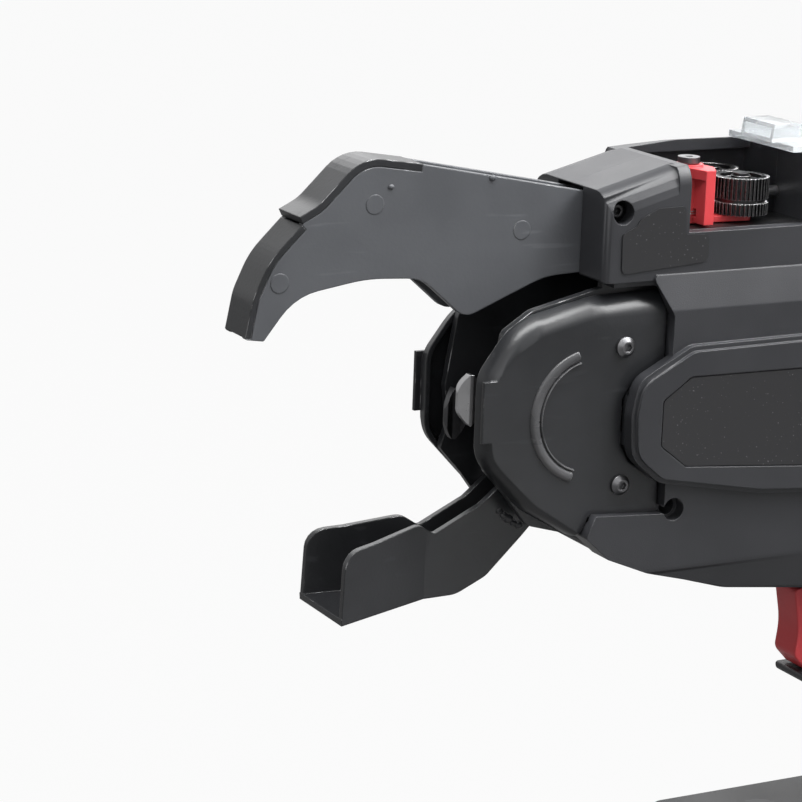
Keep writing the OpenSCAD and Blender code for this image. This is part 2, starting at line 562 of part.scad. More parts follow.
// Lower jaw: folded channel that flares to a mouth, on an arm between the cheeks
module lower_jaw() {
  side = rounded([[-220.2, ax - 70.2, 1.5], [-183, ax - 67.6, 12], [-170, ax - 67.4, 12],
    [-158, ax - 61.9, 10], [-144, ax - 48.5, 6], [-128, ax - 32, 12], [-136, ax - 22, 12],
    [-150, ax - 26, 8], [-161.4, ax - 35.2, 3], [-179.5, ax - 43.9, 2], [-186, ax - 39.6, 6],
    [-206, ax - 43, 6], [-219, ax - 44.4, 8]], 5);
  floor_path = rounded([[-220.2, ax - 70.2, 0], [-183, ax - 67.6, 12], [-170, ax - 67.4, 12],
    [-158, ax - 61.9, 10], [-146, ax - 50.4, 0]], 4);
  a = arm_w / 2;
  m = mouth_w / 2;
  wall_plan = [[-221, m], [-183, a], [-120, a], [-120, a - lower_t], [-182.6, a - lower_t],
    [-221, m - lower_t * 1.05]];
  fill_plan = [[-221, -m], [-183, -a], [-130, -a], [-130, a], [-183, a], [-221, m]];
  color(jaw_grey) difference() {
    union() {
      intersection() {
        across(side, 60);
        translate([0, 0, 100]) union() for (k = [0, 1]) mirror([0, k, 0])
          linear_extrude(160) polygon(wall_plan);
      }
      intersection() {
        across(band(floor_path, lower_t), 60);
        translate([0, 0, 100]) linear_extrude(160) polygon(fill_plan);
      }
      bar_y(pivot_x, pivot_z, -a, a, pivot_d + 6);
    }
    bar_y(pivot_x, pivot_z, -30, 30, pivot_d + 2 * run);
  }
}
module lower_jaw_pin() {
  color(steel) bar_y(pivot_x, pivot_z, -frame_in / 2 - cheek_t, frame_in / 2 + cheek_t, pivot_d);
}
module lower_jaw_bushes() {
  color(steel) for (k = [0, 1]) mirror([0, k, 0]) difference() {
    bar_y(pivot_x, pivot_z, arm_w / 2 + slip, frame_in / 2, pivot_d + 4);
    bar_y(pivot_x, pivot_z, 0, 30, pivot_d + 2 * run);
  }
}
module lower_jaw_spring() {
  color(steel) translate([pivot_x, arm_w / 2 + 1.6, pivot_z]) rotate([-90, 0, 0])
    coil(pivot_d / 2 + 3.2, 1.2, 3.5, 1.7);
}

// Twister: shaft, sliding sleeve and two hooks that close on the wires
module twist_shaft() {
  color(steel) {
    bar_x(-150, case_x + case_len - 2.4, 0, ax, shaft_d);
    bar_x(-116.6, -113, 0, ax, shaft_d + 6);
    difference() {
      translate([-158, -4.5, ax - 6]) cube([9, 9, 12]);
      for (z = [-1, 1]) translate([-160, -6, ax + z * 3 - 1.8]) cube([10.8, 12, 3.6]);
      bar_z(-154, 0, ax - 10, ax + 10, 3 + 2 * run);
    }
  }
}
module twist_sleeve() {
  color(steel) difference() {
    bar_x(-146, -119, 0, ax, sleeve_d);
    bar_x(-147, -118, 0, ax, shaft_d + 2 * slip);
    translate([-147, -7.4, ax - 7]) cube([9, 14.8, 14]);
    for (a = [45, 135, 225, 315]) translate([-132, 0, ax]) rotate([a, 0, 0])
      translate([0, 0, sleeve_d / 2 + 1]) rotate([0, 90, 0]) cylinder(d = 5, h = 16, center = true);
  }
}
// Hook plan: a finger that leaves the pin and bends in at its tip
hook_plan = rounded([[-151, -2.6, 1], [-151, 2.6, 1], [-157, 2.6, 2], [-163, -3.2, 6],
  [-168, -4.2, 1], [-171, -2.4, 0.8], [-171.4, -5, 0.8], [-166, -8.6, 3], [-158, -3.4, 6]], 3);
module hook(z0, sgn) {
  difference() {
    union() {
      translate([0, 0, z0]) linear_extrude(3) mirror([0, sgn > 0 ? 1 : 0]) polygon(hook_plan);
      // leaf shaped head that takes both passes of the wire
      intersection() {
        translate([0, 0, ax - hook_h / 2]) linear_extrude(hook_h)
          intersection() {
            mirror([0, sgn > 0 ? 1 : 0]) polygon(hook_plan);
            translate([-180, -20]) square([18.6, 40]);
          }
        translate([-167, 0, ax - 4 * sgn]) rotate([90, 0, 0]) linear_extrude(40, center = true)
          intersection() {
            translate([-8, 0]) circle(r = 12.5);
            translate([8, 0]) circle(r = 12.5);
          }
      }
    }
    bar_z(-154, 0, ax - 10, ax + 10, 3 + 2 * run);
  }
}
module left_hook() { color(steel) hook(ax + 1.5, -1); }
module right_hook() { color(steel) hook(ax - 4.5, 1); }
module hook_pin() { color(steel) bar_z(-154, 0, ax - 6, ax + 6, 3); }

module shaft_bearing() {
  color(steel) difference() {
    bar_x(-112, -105, 0, ax, shaft_d + 12 - 2 * run);
    bar_x(-113, -104, 0, ax, shaft_d + 2 * run);
    difference() {
      bar_x(-112.6, -111.4, 0, ax, shaft_d + 8);
      bar_x(-112.6, -111.4, 0, ax, shaft_d + 4);
    }
  }
}

// Reduction: pinion and output gear in their case
module output_gear() {
  color(steel) difference() {
    translate([case_x + 4, 0, ax]) rotate([0, 90, 0]) linear_extrude(6)
      polygon(gear_pts(output_teeth, gear_m));
    bar_x(case_x, case_x + 20, 0, ax, shaft_d);
    for (a = [0:60:300]) translate([case_x, 0, ax]) rotate([a, 0, 0])
      translate([0, 0, gear_m * output_teeth / 3.1]) rotate([0, 90, 0]) cylinder(d = 5, h = 20);
  }
}
module motor_pinion() {
  color(steel) union() {
    translate([case_x + 4, 0, motor_z]) rotate([0, 90, 0]) linear_extrude(6)
      rotate(pinion_teeth % 2 == 0 ? 180 / pinion_teeth : 0) polygon(gear_pts(pinion_teeth, gear_m));
    bar_x(case_x + 10, case_x + case_len + 6, 0, motor_z, 6);
  }
}
module case_room(x0, x1, grow) {
  ro = gear_m * (output_teeth / 2 + 0.85) + grow;
  rp = gear_m * (pinion_teeth / 2 + 0.85) + grow;
  bar_x(x0, x1, 0, ax, 2 * ro);
  bar_x(x0, x1, 0, motor_z, 2 * rp);
  translate([x0, -rp, motor_z]) cube([x1 - x0, 2 * rp, ax - motor_z]);
}
module gear_case() {
  color(steel) difference() {
    case_room(case_x, case_x + case_len - 2, case_wall);
    case_room(case_x + 2.5, case_x + case_len, 0.6);
    bar_x(case_x - 1, case_x + 10, 0, ax, shaft_d + 2 * run);
  }
}
module gear_case_cover() {
  color(steel) difference() {
    case_room(case_x + case_len - 2, case_x + case_len, case_wall);
    bar_x(case_x, case_x + 20, 0, motor_z, 6 + 2 * run);
  }
}
module twist_motor() {
  x0 = case_x + case_len;
  color(steel) difference() {
    union() {
      bar_x(x0, x0 + 12, 0, motor_z, motor_d - 3);
      bar_x(x0 + 12, x0 + 62, 0, motor_z, motor_d);
      bar_x(x0 + 62, x0 + 66, 0, motor_z, 12);
      for (y = [-8, 8]) translate([x0 + 62, y - 1, motor_z - 3]) cube([6, 2, 6]);
    }
    bar_x(x0 - 1, x0 + 8, 0, motor_z, 6 + 2 * run);
  }
}

// Cutter that shears the wire behind the jaw
module cutter_lever() {
  color(steel) difference() {
    translate([-96.6, 0, 0]) rotate([90, 0, 90]) linear_extrude(2)
      polygon(rounded([[8, ax + 41, 3], [15, ax + 41, 3], [15, ax + 50, 3], [10, ax + 62, 6],
        [9.4, ax + 75, 1], [3.4, ax + 75, 1], [3.4, ax + 68, 1], [6, ax + 56, 8]]));
    bar_x(-99, -90, 11, ax + 45, 4 + 2 * run);
  }
}
module cutter_pin() { color(steel) bar_x(-99, -94.7, 11, ax + 45, 4 - 2 * run); }

// Wire path through the feed gears
module wire_tube(x0, x1) {
  color(steel) difference() {
    bar_x(x0, x1, 0, wire_z, 4.4);
    bar_x(x0 - 1, x1 + 1, 0, wire_z, wire_d + 0.8);
  }
}
module wire_outlet_guide() { wire_tube(bay_x - wall, feed_x - feed_c + 1); }
module wire_inlet_guide() { wire_tube(feed_x + feed_c - 1, -14); }

module feed_base_plate() {
  color(steel) difference() {
    translate([bay_x + 0.4, -side_in + 0.4, sill_z - 2]) cube([bay_end - bay_x - 0.8,
      2 * side_in - 0.8, 2]);
    bar_z(feed_x, feed_c, 0, 400, 9);
    bar_z(lever_x, lever_y, 0, 400, 4);
  }
}
module feed_motor() {
  color(steel) union() {
    bar_z(feed_x, feed_c, ax + 23, ax + 52, feed_motor_d);
    bar_z(feed_x, feed_c, ax + 52, sill_z - 2, feed_motor_d - 3);
    bar_z(feed_x, feed_c, sill_z - 2, sill_z + 0.6, 8);
  }
}
module feed_gear(turn) {
  difference() {
    translate([0, 0, feed_z]) linear_extrude(feed_h) rotate(turn)
      polygon(gear_pts(feed_teeth, feed_m));
    // groove that grips the wire and the dished top
    difference() {
      translate([0, 0, wire_z - 0.7]) cylinder(r = feed_c + 2, h = 1.4);
      translate([0, 0, wire_z - 0.7]) cylinder(r = feed_c - 0.9, h = 1.4);
    }
    difference() {
      translate([0, 0, feed_z + feed_h - 1.6]) cylinder(r = feed_c - 2.4, h = 3);
      translate([0, 0, feed_z + feed_h - 2]) cylinder(r = 3.6, h = 3);
    }
  }
}
module drive_feed_gear() {
  color("#2b2c30") translate([feed_x, feed_c, 0]) union() {
    feed_gear(90);
    translate([0, 0, sill_z + 0.6]) cylinder(d = 5, h = 3);
  }
}
module idler_feed_gear() {
  color("#2b2c30") translate([feed_x, -feed_c, 0]) difference() {
    feed_gear(90 + 180 / feed_teeth);
    cylinder(d = 4 + 2 * run, h = 400);
  }
}
module idler_axle() {
  color(steel) translate([feed_x, -feed_c, 0]) union() {
    translate([0, 0, sill_z + 0.5]) cylinder(d = 4, h = feed_h + 3);
    translate([0, 0, feed_z + feed_h + slip]) cylinder(d = 6, h = 0.8);
  }
}

// Red lever: hub on the screw, finger plate towards the user, pointed thumb rest and gear arm
module release_lever() {
  top = sill_z + 20.6;
  color(red) difference() {
    union() {
      bar_z(lever_x, lever_y, sill_z + 0.5, top + 0.8, 10.6);
      translate([0, 0, sill_z + 1]) linear_extrude(top - sill_z - 1)
        polygon([[-78.4 - finger_t, -20.5], [-78.4, -20.5], [-76.6, lever_y],
          [-78.6 - finger_t, lever_y]]);
      translate([0, 0, top - 3.6]) linear_extrude(3.6) polygon(rounded([[-78.4, -20.5, 0.3],
        [-74.6, -13, 1], [-76.4, -3.4, 2], [-86, -1.6, 3], [-90.4, -3, 1], [-86, -10, 10],
        [-82.4, -20.5, 0.3]], 3));
      // arm under the gear
      difference() {
        translate([0, 0, sill_z + 0.5]) linear_extrude(2.2) polygon(rounded([[-84, -12.6, 2],
          [feed_x + 2, -feed_c - 4.6, 3], [feed_x + 5.4, -feed_c, 3],
          [feed_x + 2, -feed_c + 4.6, 3], [-84, -3.6, 2]], 3));
        bar_z(feed_x, -feed_c, 0, 400, 4 + 2 * run);
      }
    }
    bar_z(lever_x, lever_y, 0, 400, 4 + 2 * run);
    // room for the spring
    difference() {
      bar_z(lever_x, lever_y, sill_z + 3, sill_z + 6, 14.4);
      bar_z(lever_x, lever_y, sill_z + 2, sill_z + 7, 10.6);
    }
  }
}
module release_lever_screw() {
  color(steel) difference() {
    union() {
      bar_z(lever_x, lever_y, sill_z - 2, sill_z + 22, 4 - 0.02);
      bar_z(lever_x, lever_y, sill_z + 21.8, sill_z + 24, 8);
    }
    bar_z(lever_x, lever_y, sill_z + 23, sill_z + 26, 3);
  }
}
module release_lever_spring() {
  color(steel) translate([lever_x, lever_y, sill_z + 3.6]) coil(6.2, 0.6, 2, 0.8);
}

// Spool in the magazine
module wire_spool() {
  fl = 2;
  color("#d8d9dc") difference() {
    union() {
      for (y = [-spool_w / 2, spool_w / 2 - fl]) bar_y(spool_x, spool_z, y, y + fl, spool_d);
      bar_y(spool_x, spool_z, -spool_w / 2, spool_w / 2, 36);
    }
    bar_y(spool_x, spool_z, -50, 50, axle_d + 2 * run);
    for (a = [0:60:300]) bar_y(spool_x + 28 * cos(a), spool_z + 28 * sin(a), spool_w / 2 - fl - 0.1,
      50, 8);
    for (a = [0:60:300]) bar_y(spool_x + 28 * cos(a), spool_z + 28 * sin(a), -50,
      -spool_w / 2 + fl + 0.1, 8);
    for (a = [30:60:330]) bar_y(spool_x + 12 * cos(a), spool_z + 12 * sin(a), -50, 50, 6);
  }
}
module wire_winding() {
  color(steel) difference() {
    bar_y(spool_x, spool_z, -spool_w / 2 + 2, spool_w / 2 - 2, winding_d);
    bar_y(spool_x, spool_z, -50, 50, 36);
  }
}
module spool_axle() {
  color(black) bar_y(spool_x, spool_z, -side_in - 0.2, side_in + 0.2, axle_d);
}

// Clear cover over the magazine, hinged at the rear
module clear_cover() {
  color("#dfe5ea", 0.4) difference() {
    union() {
      across(band(cover_path, -2.4), 2 * cover_half);
      // raised finger tab with a hollow underside
      across([[-48, top_z + 1.8], [-22, top_z + 1.6], [-25, top_z + 4], [-36, top_z + 8.6],
        [-47, top_z + 8.6]], 20);
      bar_y(hinge_x, hinge_z, -hinge_in + slip, hinge_in - slip, 9);
    }
    for (k = [0, 1]) mirror([0, k, 0]) bar_y(hinge_x, hinge_z, hinge_in - slip, 40, 14);
    across([[-50, top_z + 3.4], [-28, top_z + 3.4], [-36.6, top_z + 7], [-50, top_z + 7]], 16.6);
    bar_y(hinge_x, hinge_z, -30, 30, 4 + 2 * run);
  }
}
module cover_hinge_pin() {
  color(steel) bar_y(hinge_x, hinge_z, 0.1 - cover_half, cover_half - 0.1, 4);
}

// Trigger, its switch and the controls on the foot
module trigger() {
  color(red) across(rounded([[-13.4, ax - 116.9, 2], [0.6, ax - 116.9, 1], [0.6, ax - 83, 1],
    [-21.4, ax - 83, 2], [-18.2, ax - 99.5, 30], [-19.6, ax - 110.4, 4]], 6), trigger_w);
}
module trigger_switch() {
  color(black) {
    translate([7, -6, ax - 114]) cube([16, 12, 28]);
    // lugs that the two halves of the handle clamp
    bar_y(15, ax - 90, -handle_w / 2 + wall + 2, handle_w / 2 - wall - 2, 5);
    bar_x(5.8, 7.1, 0, ax - 100, 4);
    translate([22, -5, ax - 112]) cube([8, 10, 6]);
  }
}
module control_panel() {
  color("#232428") difference() {
    translate([panel_x, -panel_w / 2, foot_top - 2]) cube([panel_len, panel_w, 2]);
    bar_z(button_x, 0, 0, 400, button_d + 2 * slip);
    bar_z(dial_x, 0, 0, 400, 5 + 2 * slip);
    for (y = [-9, 0, 9]) bar_z(panel_x + 2.4, y, foot_top - 0.6, 400, 2.4);
  }
}
module control_board() {
  color("#2f6b3f") difference() {
    translate([panel_x + 1, -17, foot_z + 10.8]) cube([panel_len, 34, 1.6]);
    for (y = [-14, 14]) bar_z(panel_x + 28, y, 0, 400, 2.6);
  }
}
module power_button() {
  color(red) union() {
    bar_z(button_x, 0, foot_top - 4.4, foot_top + 1, button_d);
    bar_z(button_x, 0, foot_top - 4.4, foot_top - 3.4, button_d + 3);
  }
}
module torque_dial() {
  color(black) union() {
    bar_z(dial_x, 0, foot_z + 12.7, foot_top + 1, 5);
    difference() {
      bar_z(dial_x, 0, foot_top + slip, foot_top + 6, dial_d);
      for (a = [0:30:330]) translate([dial_x, 0, foot_top]) rotate([0, 0, a])
        translate([dial_d / 2 + 0.4, 0, 1.6]) cylinder(d = 2, h = 8);
      translate([dial_x - dial_d / 2, -0.6, foot_top + 5.4]) cube([dial_d / 2, 1.2, 2]);
    }
  }
}

module housing_screws() {
  color(steel) for (s = screws) translate([s[0], 0, s[1]]) rotate([90, 0, 0])
    translate([0, 0, s[2]]) hex_screw(3, 5.6, 2.4, s[2] + min(s[2], 12));
}
module nose_screw() {
  color("#2b2c30") translate([jaw_screw[0], 0, jaw_screw[1]]) rotate([90, 0, 0])
    translate([0, 0, 18]) hex_screw(plate_screw_d, 7.2, 3.6, 34);
}
module rubber_grip() {
  color("#26272a") intersection() {
    across(band(handle_back, -1.8), handle_w * 0.56);
    translate([0, -30, foot_top + 4]) cube([60, 60, ax - 78 - foot_top - 4]);
  }
}

// Battery on its rails, with cells, latch and the tool's terminals
module terminal_block() {
  color(black) union() {
    translate([0, -19, foot_z + 9.2]) cube([26, 38, 4.4]);
    for (y = [-12, -4, 4, 12]) translate([8, y - 0.4, foot_z + 1.4]) cube([12, 0.8, 8]);
  }
}
module battery_case() {
  b = battery_len / 2;
  h = battery_h - 0.2;
  side = rounded([[-b, 0, 5], [b, 0, 5], [b, h, 4], [-b, h, 4]]);
  color(black) difference() {
    union() {
      both() loft([[0, side], [battery_w / 2 - 3, side], [battery_w / 2 - 1, inset(side, 0.8)],
        [battery_w / 2, inset(side, 2.2)]]);
      across([[-40, h - 1], [46, h - 1], [46, h + 8.2], [-40, h + 8.2]], 44);
      across([[-40, h + 5], [46, h + 5], [46, h + 8.2], [-40, h + 8.2]], 52);
    }
    // room for the cells
    translate([-48.4, -33, 3]) cube([96.8, 66, 39]);
    for (y = [-12, -4, 4, 12]) translate([6, y - 0.9, h + 0.8]) cube([60, 1.8, 10]);
    // slot of the latch
    translate([-b - 1, -10.3, h - 20]) cube([5.3, 20.6, 30]);
    translate([-b - 1, -10.3, h - 3]) cube([b - 34, 20.6, 12]);
  }
}
module battery_cells() {
  color("#3f7fb5") for (i = [-2:2]) for (k = [0, 1])
    bar_y(i * 19, 12.6 + k * 18.6, -32.6, 32.6, 18.2);
}
module battery_latch() {
  b = battery_len / 2;
  color(red) union() {
    translate([-b + 0.2, -10, battery_h - 15.8]) cube([3.8, 20, 14.6]);
    translate([-b + 0.8, -8, battery_h - 1.6]) cube([3, 16, 1.1]);
  }
}

// Bare label places
module nose_label() {
  color("#46474c") left() slab(nose_w / 2 + 0.02, nose_w / 2 + 0.42, rounded([[-119.4, ax + 49.6, 2],
    [-83.4, ax + 52.3, 2.5], [-83.6, ax + 61.9, 2], [-93.4, ax + 62.6, 0.8], [-94, ax + 72.6, 1.5],
    [-105, ax + 72.4, 2], [-112.6, ax + 69, 4], [-114, ax + 66.4, 3], [-119.8, ax + 64, 2]]));
}
module side_label() {
  color("#2a2b2f") left() slab(island_w / 2 - 0.78, island_w / 2 - 0.2, rounded(shrink(panel_rows, 0.5), 3));
}

left_shell();
right_shell();
front_frame();
left_side_plate();
right_side_plate();
side_plate_screws();
upper_jaw_left_plate();
upper_jaw_right_plate();
curl_guide();
jaw_rim_strip();
jaw_crown_plate();
jaw_pins();
lower_jaw();
lower_jaw_pin();
lower_jaw_bushes();
lower_jaw_spring();
twist_shaft();
twist_sleeve();
left_hook();
right_hook();
hook_pin();
shaft_bearing();
output_gear();
gear_case();
gear_case_cover();
motor_pinion();
twist_motor();
cutter_lever();
cutter_pin();
wire_outlet_guide();
wire_inlet_guide();
feed_base_plate();
feed_motor();
drive_feed_gear();
idler_feed_gear();
idler_axle();
release_lever();
release_lever_screw();
release_lever_spring();
wire_spool();
wire_winding();
spool_axle();
clear_cover();
cover_hinge_pin();
trigger();
trigger_switch();
control_panel();
control_board();
power_button();
torque_dial();
housing_screws();
nose_screw();
rubber_grip();
terminal_block();
battery_case();
battery_cells();
battery_latch();
nose_label();
side_label();
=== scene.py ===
# %% [markdown]
# # Rebar tying tool
# The model of the tool comes as separate solids in one shared frame: metres, +Z up, the jaws along
# -X, and the side that the picture shows towards -Y. This lesson gives every solid its finish,
# models the small forms that need a mesh, and sets up the light and the camera.

# %% Load the model
import json
import math

import bpy
from mathutils import Matrix, Vector

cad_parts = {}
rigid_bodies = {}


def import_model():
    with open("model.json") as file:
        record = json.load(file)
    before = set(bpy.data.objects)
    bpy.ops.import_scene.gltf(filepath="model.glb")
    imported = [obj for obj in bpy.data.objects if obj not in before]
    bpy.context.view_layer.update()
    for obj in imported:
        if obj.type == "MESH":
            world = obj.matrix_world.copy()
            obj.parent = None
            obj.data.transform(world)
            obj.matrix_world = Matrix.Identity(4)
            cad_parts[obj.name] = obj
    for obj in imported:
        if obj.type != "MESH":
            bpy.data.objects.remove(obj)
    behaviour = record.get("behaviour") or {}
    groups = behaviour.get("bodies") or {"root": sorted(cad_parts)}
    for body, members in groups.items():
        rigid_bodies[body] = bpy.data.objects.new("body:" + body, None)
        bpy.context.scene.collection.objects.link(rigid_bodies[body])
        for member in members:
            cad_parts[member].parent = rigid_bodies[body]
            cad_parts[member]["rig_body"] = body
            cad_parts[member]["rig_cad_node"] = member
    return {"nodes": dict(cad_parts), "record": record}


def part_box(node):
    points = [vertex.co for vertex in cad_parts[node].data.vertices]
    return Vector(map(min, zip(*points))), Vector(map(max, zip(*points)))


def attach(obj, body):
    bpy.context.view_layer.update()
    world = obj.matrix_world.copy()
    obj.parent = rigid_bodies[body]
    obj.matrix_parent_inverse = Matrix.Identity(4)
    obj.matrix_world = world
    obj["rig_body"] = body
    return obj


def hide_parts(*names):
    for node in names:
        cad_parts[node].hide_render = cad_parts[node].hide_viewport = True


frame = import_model()
nodes = frame["nodes"]
body_of_node = {n: b for b, names in frame["record"]["behaviour"]["bodies"].items() for n in names}
slot_of_node = {row["node"]: row["material_slot"] for row in frame["record"]["subparts"]}
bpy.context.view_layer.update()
mm = 0.001
shaft_low, shaft_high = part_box("twist_shaft")
axis_z = (shaft_low.z + shaft_high.z) / 2

# %% [markdown]
# ## Camera
# The picture was taken from the left front, a little above the jaws, with a long lens. The camera
# looks at a point between the jaws from a metre away. Its axes are worked out from three angles, so
# that no helper object is needed.

# %% Camera
view_azimuth = math.radians(28)
view_elevation = math.radians(14)
view_roll = math.radians(2)
view_distance = 1.0
metres_per_pixel = 0.35 * mm
image_width = 802
view_centre = Vector((-0.191, 0.0, axis_z + 4 * mm))

back = Vector((
    -math.sin(view_azimuth) * math.cos(view_elevation),
    -math.cos(view_azimuth) * math.cos(view_elevation),
    math.sin(view_elevation),
))
level_right = Vector((math.cos(view_azimuth), -math.sin(view_azimuth), 0))
level_up = back.cross(level_right)
right = level_right * math.cos(view_roll) + level_up * math.sin(view_roll)
up = level_up * math.cos(view_roll) - level_right * math.sin(view_roll)

bpy.ops.object.camera_add()
camera = bpy.context.object
camera.name = "camera"
axes = Matrix((right, up, back)).transposed().to_4x4()
camera.matrix_world = Matrix.Translation(view_centre + back * view_distance) @ axes
sensor_width = 36
camera.data.sensor_width = sensor_width
camera.data.lens = sensor_width * view_distance / (metres_per_pixel * image_width)
camera.data.clip_start = 0.05
camera.data.clip_end = 50
bpy.context.scene.camera = camera
print("lens:", round(camera.data.lens, 1), "mm")

# %% [markdown]
# ## Light
# A studio for dark tools needs large soft lamps: dark plastic shows its form only in what it
# reflects. The main light of the picture comes from above and from the right, so that upper faces are
# pale and the underside is dark. A wide lamp at the left fills the jaws, a small low one lights the
# trigger, and a weak one the far side. Point lamps would only leave sharp dots on the gloss, so each
# lamp is a rectangle, which shows as a soft bright patch.

# %% Light
def lamp(name, place, aim, size, watts):
    """A rectangular lamp. Place and aim are measured from the twister's axis upwards."""
    place = Vector(place) + Vector((0, 0, axis_z))
    direction = Vector(aim) + Vector((0, 0, axis_z)) - place
    turn = direction.to_track_quat("-Z", "Y").to_euler()
    bpy.ops.object.light_add(type="AREA", location=place, rotation=turn)
    light = bpy.context.object
    light.name = name
    light.data.shape = "RECTANGLE"
    light.data.size, light.data.size_y = size
    light.data.energy = watts


lamps = {
    "front_lamp": ((-1.1, -1.3, 0.78), (-0.1, 0, 0), (1.1, 0.9), 3.4),
    "top_lamp": ((-0.1, -0.2, 1.28), (-0.1, 0, 0), (1.3, 0.5), 26),
    "high_right_lamp": ((0.8, -0.9, 0.93), (-0.1, 0, 0), (0.9, 0.8), 7),
    "near_right_lamp": ((0.42, -0.32, 0.62), (0.09, 0, 0), (0.4, 0.4), 7),
    "low_right_lamp": ((0.1, -0.6, -0.3), (0, 0, -0.12), (0.2, 0.15), 0.8),
    "back_lamp": ((0.3, 1.3, 0.68), (0, 0, 0), (1.2, 0.7), 5),
}
for name, (place, aim, size, watts) in lamps.items():
    lamp(name, place, aim, size, watts)
print("lamps:", len(lamps), "watts:", sum(row[-1] for row in lamps.values()))

# %% [markdown]
# ## Values as expressions
# Shader maths reads best as Python. A Wire holds one output of a node, and each operator adds the
# Math node that it stands for. Nodes is a tree to which nodes are added, and a Finish is the tree of
# one material with its shader.

# %% Wire, Nodes and Finish
class Wire:
    """One output of a node, used like a number."""

    def __init__(self, nodes, socket):
        self.nodes = nodes
        self.socket = socket

    def maths(self, operation, *values):
        return self.nodes.node("ShaderNodeMath", {"operation": operation}, *values)

    def __add__(self, other):
        return self.maths("ADD", self, other)

    def __radd__(self, other):
        return self.maths("ADD", other, self)

    def __sub__(self, other):
        return self.maths("SUBTRACT", self, other)

    def __rsub__(self, other):
        return self.maths("SUBTRACT", other, self)

    def __mul__(self, other):
        return self.maths("MULTIPLY", self, other)

    def __rmul__(self, other):
        return self.maths("MULTIPLY", other, self)

    def at_least(self, other):
        return self.maths("MAXIMUM", self, other)

    def between(self, low, high):
        """0 below low, 1 above high, smooth from one to the other."""
        smooth = {"interpolation_type": "SMOOTHSTEP"}
        return self.nodes.node("ShaderNodeMapRange", smooth, self, low, high, 0.0, 1.0)


class Nodes:
    """A node tree of a material or of the world."""

    def __init__(self, tree):
        self.tree = tree

    def node(self, kind, settings=None, *values, out=0, **named):
        """Adds a node: its settings first, then the values or wires of its sockets."""
        made = self.tree.nodes.new(kind)
        for key, value in (settings or {}).items():
            setattr(made, key, value)
        pairs = list(enumerate(values)) + [(key.replace("_", " "), value) for key, value in named.items()]
        for key, value in pairs:
            self.feed(made.inputs[key], value)
        return Wire(self, made.outputs[out])

    def feed(self, socket, value):
        if isinstance(value, Wire):
            self.tree.links.new(value.socket, socket)
        else:
            socket.default_value = value

    def ray(self, kind):
        """1 for a ray of this kind, such as Camera, and 0 for any other."""
        return self.node("ShaderNodeLightPath", out=f"Is {kind} Ray")


class Finish(Nodes):
    """A material whose shader is one Principled BSDF."""

    def __init__(self, name, **constants):
        self.material = bpy.data.materials.new(name)
        self.material.use_nodes = True
        super().__init__(self.material.node_tree)
        self.shader = self.tree.nodes["Principled BSDF"]
        self.set(**constants)

    def set(self, **sockets):
        """Feeds the shader's own sockets, such as Roughness."""
        for socket, value in sockets.items():
            self.feed(self.shader.inputs[socket.replace("_", " ")], value)

    def place(self):
        return self.node("ShaderNodeTexCoord", None, out="Object")

    def noise(self, scale, detail=2.0, stretch=None):
        """Noise of the given number of cells per metre, drawn out along an axis if asked."""
        where = self.place()
        if stretch:
            where = self.node("ShaderNodeMapping", None, where, Scale=stretch)
        return self.node("ShaderNodeTexNoise", None, Vector=where, Scale=scale, Detail=detail)

    def blend(self, mask, low, high):
        """Mixes two colours by a mask."""
        made = self.tree.nodes.new("ShaderNodeMix")
        made.data_type = "RGBA"
        self.feed(made.inputs[0], mask)
        self.feed(made.inputs[6], low)
        self.feed(made.inputs[7], high)
        return Wire(self, made.outputs[2])

    def edges(self, radius):
        """Rounded normal and a mask that is 1 on sharp edges."""
        round_normal = self.node("ShaderNodeBevel", {"samples": 6}, Radius=radius)
        flat_normal = self.node("ShaderNodeNewGeometry", None, out="Normal")
        dot = {"operation": "DOT_PRODUCT"}
        same = self.node("ShaderNodeVectorMath", dot, round_normal, flat_normal, out="Value")
        return round_normal, (1 - same).between(0.02, 0.22)

    def bump(self, height, distance, normal=None):
        made = {"Height": height, "Distance": distance, "Strength": 1.0}
        if normal:
            made["Normal"] = normal
        self.set(Normal=self.node("ShaderNodeBump", None, **made))


def colour(*rgb):
    return (*rgb, 1.0)


# %% [markdown]
# ## Moulded plastic
# The housing is dark grey moulded plastic with a fine spark-eroded grain. An image could give the
# grain, but noise in object coordinates needs no file and no unwrapping. Its bump is a twentieth of a
# millimetre, the gloss changes slowly from place to place, and the edges catch the light because they
# are slightly rubbed. The edge mask compares the true normal with a rounded one.

# %% Moulded plastic
def moulded(name, dark, pale, rough, grain):
    """Plastic between two tones. Grain is the size of one grain in metres."""
    finish = Finish(name, IOR=1.48)
    round_normal, rim = finish.edges(0.5 * mm)
    cloud = finish.noise(38, 3).between(0.3, 0.7)
    grains = finish.noise(1 / grain, 2)
    tone = finish.blend(cloud * 0.5 + grains * 0.3, colour(*dark), colour(*pale))
    rub = rim * finish.noise(240, 3).between(0.35, 0.6)
    rubbed = colour(*[min(1, c * 2.6 + 0.02) for c in pale])
    finish.set(Base_Color=finish.blend(rub * 0.35, tone, rubbed))
    finish.set(Roughness=rough + cloud * 0.07 - rim * 0.08)
    finish.bump(grains, 0.05 * mm, round_normal)
    return finish.material


